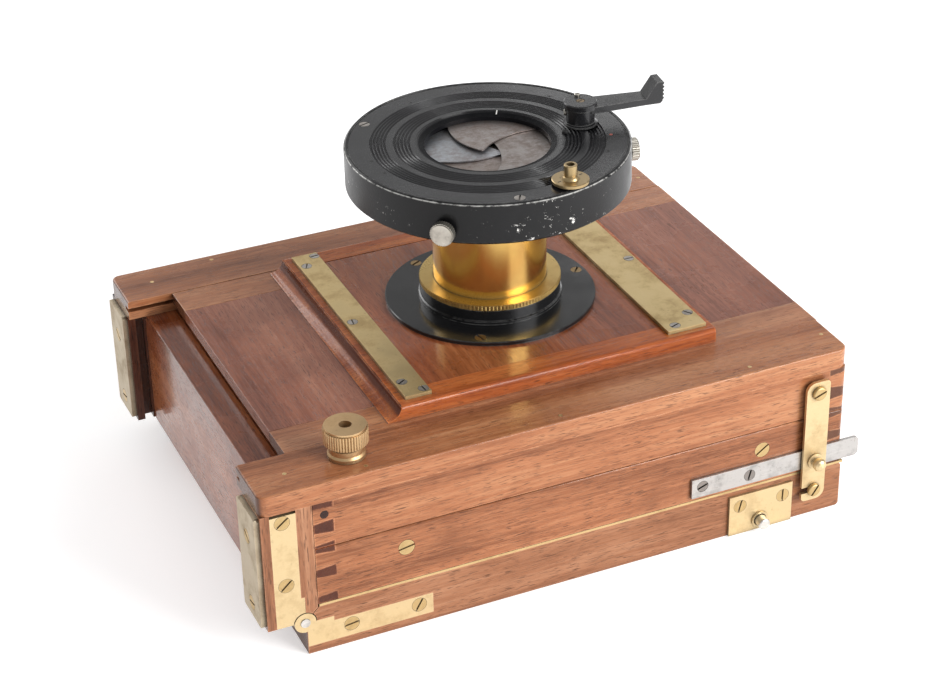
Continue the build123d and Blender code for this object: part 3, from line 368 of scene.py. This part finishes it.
NICKEL = steel("nickel", (0.55, 0.52, 0.46), 0.30, 0.35)
METALS = {
    brass("brass-fittings", (0.72, 0.56, 0.32), 0.34, 0.35, brush=(0.2, 3, 3)):
        ("post_hinge_leaves", "tailboard_hinge_leaves", "pinion_plates", "latch_hook_near", "latch_hook_far"),
    brass("brass-corner-plates", (0.50, 0.42, 0.30), 0.42, 0.55, brush=(3, 3, 0.2)): ("corner_plates",),
    brass("brass-screws", (0.58, 0.42, 0.20), 0.36, 0.5): ("case_screws", "tailboard_screws"),
    brass("brass-runners", (0.66, 0.48, 0.24), 0.34, 0.45): ("runner_strips", "strip_pins"),
    brass("brass-screws-browned", (0.30, 0.20, 0.09), 0.38, 0.7): ("flange_screws",),
    brass("brass-plates", (0.60, 0.46, 0.23), 0.40, 0.50, brush=(3, 0.2, 3)): ("lensboard_plates",),
    brass("brass-turned", (0.62, 0.42, 0.22), 0.32, 0.35, brush=(1, 1, 4)): ("clamp_nut", "clamp_stud"),
    brass("brass-ring", (0.60, 0.42, 0.15), 0.28, 0.25, corner_shade_reach=0.0012): ("milled_ring",),
    brass("brass-dial", (0.42, 0.31, 0.16), 0.34, 0.6): ("mode_dial",),
    brass("brass-barrel", (0.70, 0.46, 0.14), 0.20, 0.10, brush=(2.6, 2.6, 0.06), dent=0.0, speckle=0.25,
          mottle=-0.02): ("lens_barrel",),
    steel("steel-strap", (0.54, 0.52, 0.50), 0.34, 0.35, heads=STRAP_HEADS): ("steel_straps",),
    steel("steel-screws", (0.42, 0.39, 0.36), 0.38, 0.45): ("lensboard_screws", "shutter_screws"),
    steel("steel-pins", (0.72, 0.70, 0.67), 0.28, 0.1):
        ("hinge_pins", "pinion_shaft", "carriage_racks", "drive_ring"),
    NICKEL: ("thumbscrew_1", "thumbscrew_2", "thumbscrew_3"),
    enamel("enamel-housing", rough=0.32, speck=1.0, rim=SHUTTER_R, top=HOUSING_TOP, peel=0.45, level=0.28):
        ("shutter_housing",),
    enamel("enamel-face", (0.007, 0.007, 0.008), 0.22, chips=0.0, shade=0.92, level=0.85): ("shutter_face",),
    enamel("enamel-flange", rough=0.20, chips=0.12, level=0.6): ("flange",),
    enamel("enamel-lever", (0.008, 0.008, 0.009), 0.24, chips=0.15): ("release_lever",),
}
for material, nodes in METALS.items():
    for node in nodes:
        NODES[node].material_slots[0].material = material


def blade_steel(name, tint, seed):
    """A shutter leaf's blued and rubbed steel, with painted shade along its edges."""
    p = Paint(name)
    cloud = p.noise(p.scaled((230, 230, 230), (seed, 2, 5)), detail=6.0, rough=0.75)
    lines = p.noise(p.scaled((200, 1400, 200), (seed, 1, 1), (0, 0, seed * 1.3)), detail=3.0, rough=0.7)
    colour = p.mix(p.spread(cloud, 0.35, 0.68), tint, tuple(c * k for c, k in zip(tint, (0.66, 0.58, 0.54))))
    colour = p.mix(p.math("MULTIPLY", p.spread(lines, 0.55, 0.7), 0.4), colour, tuple(c * 1.5 for c in tint))
    # painted shade: the leaf's arrises are darkened almost to black
    colour = p.mix(p.arris(0.0003, 0.02, 0.2), colour, (0.02, 0.02, 0.02))
    return p.finish(colour, p.spread(cloud, 0.3, 0.7, 0.32, 0.5), p.bump(lines, 0.1, 0.00005), metal=0.85)


for i, tint in enumerate(((0.30, 0.26, 0.24), (0.42, 0.44, 0.47), (0.33, 0.30, 0.285), (0.35, 0.315, 0.30))):
    NODES[f"shutter_blade_{i + 1}"].material_slots[0].material = blade_steel(f"blade-{i + 1}", tint, i + 1)


def clear_glass():
    p = Paint("lens-glass")
    dust = p.noise(p.scaled((900, 900, 900)), detail=4.0, rough=0.7)
    rough = p.spread(dust, 0.55, 0.75, 0.02, 0.12)
    return p.finish((0.95, 0.98, 0.96), rough, Transmission_Weight=1.0, IOR=1.52)


def ground_glass():
    p = Paint("ground-glass")
    grit = p.noise(p.scaled((4000, 4000, 4000)), detail=2.0)
    return p.finish((0.86, 0.90, 0.88), p.spread(grit, 0.3, 0.7, 0.45, 0.6), p.bump(grit, 0.3, 0.00005),
                    Transmission_Weight=0.85, IOR=1.5)


def leather():
    p = Paint("bellows-leather")
    cells = p.node("TexVoronoi", {"Vector": p.place, "Scale": 1400.0}, output="Distance")
    cloud = p.noise(p.scaled((60, 60, 60)), detail=4.0)
    colour = p.mix(cloud, (0.030, 0.012, 0.010), (0.070, 0.030, 0.022))
    return p.finish(colour, 0.6, p.bump(cells, 0.5, 0.0002))


NODES["rear_lens"].material_slots[0].material = clear_glass()
NODES["ground_glass"].material_slots[0].material = ground_glass()
NODES["bellows"].material_slots[0].material = leather()


# ---------------------------------------------------------------- softened arrises
def soften(nodes, width, segments=2, angle=32):
    for node in nodes:
        o = NODES[node]
        weld = o.modifiers.new("weld", "WELD")
        weld.merge_threshold = 0.000005
        arris = o.modifiers.new("arris", "BEVEL")
        arris.width, arris.segments = width, segments
        arris.limit_method, arris.angle_limit = "ANGLE", math.radians(angle)
        arris.harden_normals = True


soften(["tailboard_rails", "tailboard_hinge_rail", "rising_panel", "panel_cleats", "base_panel",
        "front_box_side_near", "front_box_side_far", "rear_body_side_near", "rear_body_side_far",
        "lens_board", "lensboard_frame"], 0.00025)
soften(["lensboard_plates", "corner_plates", "steel_straps"], 0.0003)


# ---------------------------------------------------------------- small pieces
def add_piece(name, bm, materials, body):
    mesh = bpy.data.meshes.new(name)
    bm.to_mesh(mesh)
    bm.free()
    for material in materials:
        mesh.materials.append(material)
    piece = bpy.data.objects.new(name, mesh)
    bpy.context.scene.collection.objects.link(piece)
    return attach(piece, body)


def stud(name, base, out, radius, height, material, body, slot=None, round_off=0.0):
    """A short round piece standing on a surface. slot is (turn, material) of a dark bar across its head,
    painted shade for the screw's slot.
    """
    frame_of = Matrix.Translation(base) @ out.to_track_quat("Z", "Y").to_matrix().to_4x4()
    bm = bmesh.new()
    foot = frame_of @ Matrix.Translation((0, 0, (height - round_off) / 2))
    bmesh.ops.create_cone(bm, cap_ends=True, segments=40, radius1=radius, radius2=radius,
                          depth=height - round_off, matrix=foot)
    if round_off:
        crown = frame_of @ Matrix.Translation((0, 0, height - round_off / 2))
        bmesh.ops.create_cone(bm, cap_ends=True, segments=40, radius1=radius, radius2=radius - round_off,
                              depth=round_off, matrix=crown)
    materials = [material]
    # painted shade: a thin dark bar stands for the shade in the screw's slot
    if slot:
        turn, dark = slot
        materials.append(dark)
        before = set(bm.faces)
        bar = frame_of @ Matrix.Translation((0, 0, height)) @ Matrix.Rotation(turn, 4, "Z")
        size = Matrix.Diagonal((1.7 * (radius - round_off), 0.5 * MM, 0.06 * MM, 1))
        bmesh.ops.create_cube(bm, size=1.0, matrix=bar @ size)
        for face in set(bm.faces) - before:
            face.material_index = 1
    return add_piece(name, bm, materials, body)


def on_face(radius, degrees, lift=0.0):
    """A place on the shutter's face, by its radius and angle about the lens axis."""
    a = math.radians(degrees)
    return Vector((LENS.x + radius * math.cos(a), LENS.y + radius * math.sin(a), FACE_TOP + lift))


UP = Vector((0, 0, 1))
# black for the dial marks and the face boss, and painted shade in the face's holes and the screw slots
BLACK_MARKS_AND_GAP_SHADE = enamel("black-marks-and-gap-shade", (0.004, 0.004, 0.004), 0.6, chips=0.0)
MARK_WHITE = enamel("mark-white", (0.62, 0.61, 0.58), 0.5, chips=0.0)
MARK_RED = enamel("mark-red", (0.28, 0.05, 0.03), 0.4, chips=0.0)
OLD_BRASS = brass("brass-lever-screw", (0.26, 0.19, 0.11), 0.4, 0.7)

HOLE_CIRCLE, HOLE_R = 48.5 * MM, 0.65 * MM
# painted shade: flat black discs where the face has holes
for number, degrees in enumerate((106, 177, -169, -38, 34)):
    stud(f"face_hole_shade_{number + 1}", on_face(HOLE_CIRCLE, degrees), UP, HOLE_R, 0.02 * MM, BLACK_MARKS_AND_GAP_SHADE,
         "rising_front")
stud("red_dot", on_face(49.1 * MM, -20.1), UP, 0.7 * MM, 0.03 * MM, MARK_RED, "rising_front")
stud("face_boss", on_face(31.5 * MM, -12.8), UP, 1.3 * MM, 0.9 * MM, BLACK_MARKS_AND_GAP_SHADE, "rising_front",
     round_off=0.3 * MM)


TICK_AT, TICK_WIDTH, TICK_THICK, TICK_LIFT = 58, 0.45 * MM, 0.05 * MM, 0.04 * MM


def add_index_tick():
    """A white line down the steps of the screw seat."""
    mouth, seat = 28.7 * MM, 26.2 * MM
    drop = 1.2 / 3.6 * (mouth - seat)
    centre = (on_face(mouth, TICK_AT, TICK_LIFT) + on_face(seat, TICK_AT, TICK_LIFT - drop)) / 2
    bm = bmesh.new()
    place = Matrix.Translation(centre) @ Matrix.Rotation(math.radians(TICK_AT), 4, "Z")
    place = place @ Matrix.Rotation(-math.atan2(drop, mouth - seat), 4, "Y")
    shape = Matrix.Diagonal((mouth - seat, TICK_WIDTH, TICK_THICK, 1))
    bmesh.ops.create_cube(bm, size=1.0, matrix=place @ shape)
    add_piece("index_tick", bm, [MARK_WHITE], "rising_front")


add_index_tick()

HUB = Vector(JOINTS["lever_press"]["pos_m"])
TAB_RISE = 5.1 * MM             # the thumb tab's top above the hub's
HUB_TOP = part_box("release_lever")[1].z - TAB_RISE
stud("lever_screw", Vector((HUB.x, HUB.y, HUB_TOP - 0.6 * MM)), UP, 1.6 * MM, 0.5 * MM, OLD_BRASS,
     "release_lever", slot=(0.5, BLACK_MARKS_AND_GAP_SHADE))
side = Vector((math.cos(math.radians(155)), math.sin(math.radians(155)), 0))
stud("lever_set_screw", Vector((HUB.x, HUB.y, HUB_TOP - 5.1 * MM)) + side * 5.7 * MM, side, 1.3 * MM,
     0.9 * MM, NICKEL, "release_lever", slot=(0.9, BLACK_MARKS_AND_GAP_SHADE), round_off=0.2 * MM)
stud("lever_rim_screw", Vector((HUB.x + 1.0 * MM, HUB.y + 4.9 * MM, HUB_TOP - 0.1 * MM)), UP, 1.2 * MM,
     0.9 * MM, NICKEL, "release_lever", slot=(0.2, BLACK_MARKS_AND_GAP_SHADE), round_off=0.2 * MM)

DIAL = Vector(JOINTS["dial_turn"]["pos_m"])
STUB_HEIGHT = 5.9 * MM          # the dial's stub above its plate
DIAL_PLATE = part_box("mode_dial")[1].z - STUB_HEIGHT
MARK_CIRCLE = 5.2 * MM
for number, degrees in enumerate((15, 190)):
    a = math.radians(degrees)
    bm = bmesh.new()
    spot = (DIAL.x + MARK_CIRCLE * math.cos(a), DIAL.y + MARK_CIRCLE * math.sin(a), DIAL_PLATE)
    shape = Matrix.Rotation(a, 4, "Z") @ Matrix.Diagonal((1.5 * MM, 0.45 * MM, 0.06 * MM, 1))
    bmesh.ops.create_cube(bm, size=1.0, matrix=Matrix.Translation(spot) @ shape)
    add_piece(f"dial_mark_{number + 1}", bm, [BLACK_MARKS_AND_GAP_SHADE], "mode_dial")

# a wooden plug in the side of the front box, between two dovetails
PLUG_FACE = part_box("front_box_side_near")[0].y
stud("wood_plug", Vector((LENS.x - 109.7 * MM, PLUG_FACE + 0.01 * MM, 61.1 * MM)), Vector((0, -1, 0)),
     1.7 * MM, 0.04 * MM, mahogany("wood-plug", "Y", 31, gloss=0.35, **DEEP), "camera_body")


# ---------------------------------------------------------------- lights and floor
def area_light(name, place, aim, size, power):
    data = bpy.data.lights.new(name, "AREA")
    data.shape, data.size, data.size_y = "RECTANGLE", *size
    data.energy = power
    light = bpy.data.objects.new(name, data)
    bpy.context.scene.collection.objects.link(light)
    light.location = place
    light.rotation_euler = (Vector(aim) - Vector(place)).to_track_quat("-Z", "Y").to_euler()


FLOOR_HALF = 6.0
FLOOR_DROP = 0.0002             # keeps the floor off the faces that rest on it


def make_floor():
    """A pale floor that glows a little, so that its far part is as white as the backdrop."""
    mesh = bpy.data.meshes.new("floor")
    corners = [(-FLOOR_HALF, -FLOOR_HALF, 0), (FLOOR_HALF, -FLOOR_HALF, 0),
               (FLOOR_HALF, FLOOR_HALF, 0), (-FLOOR_HALF, FLOOR_HALF, 0)]
    mesh.from_pydata(corners, [], [(0, 1, 2, 3)])
    floor = bpy.data.objects.new("floor", mesh)
    bpy.context.scene.collection.objects.link(floor)
    p = Paint("floor")
    mesh.materials.append(p.finish((0.90, 0.90, 0.90), 0.7, Specular_IOR_Level=0.1,
                                   Emission_Color=(1.0, 0.99, 1.0), Emission_Strength=0.42))
    floor.location.z = -FLOOR_DROP


make_floor()
area_light("key", (0.95, -1.35, 0.75), (0, 0, 0.05), (1.1, 0.9), 36)
area_light("back", (-0.5, 1.5, 0.9), (0, 0, 0.08), (1.4, 0.7), 10)
area_light("glint", (1.15, 1.45, 0.60), (0, 0, 0.10), (0.9, 0.4), 3)
world = bpy.data.worlds.new("world")
bpy.context.scene.world = world
world.use_nodes = True
backdrop = world.node_tree.nodes["Background"]
backdrop.inputs["Color"].default_value = (1, 1, 1, 1)
backdrop.inputs["Strength"].default_value = 0.52
bpy.context.scene.view_settings.view_transform = "Standard"
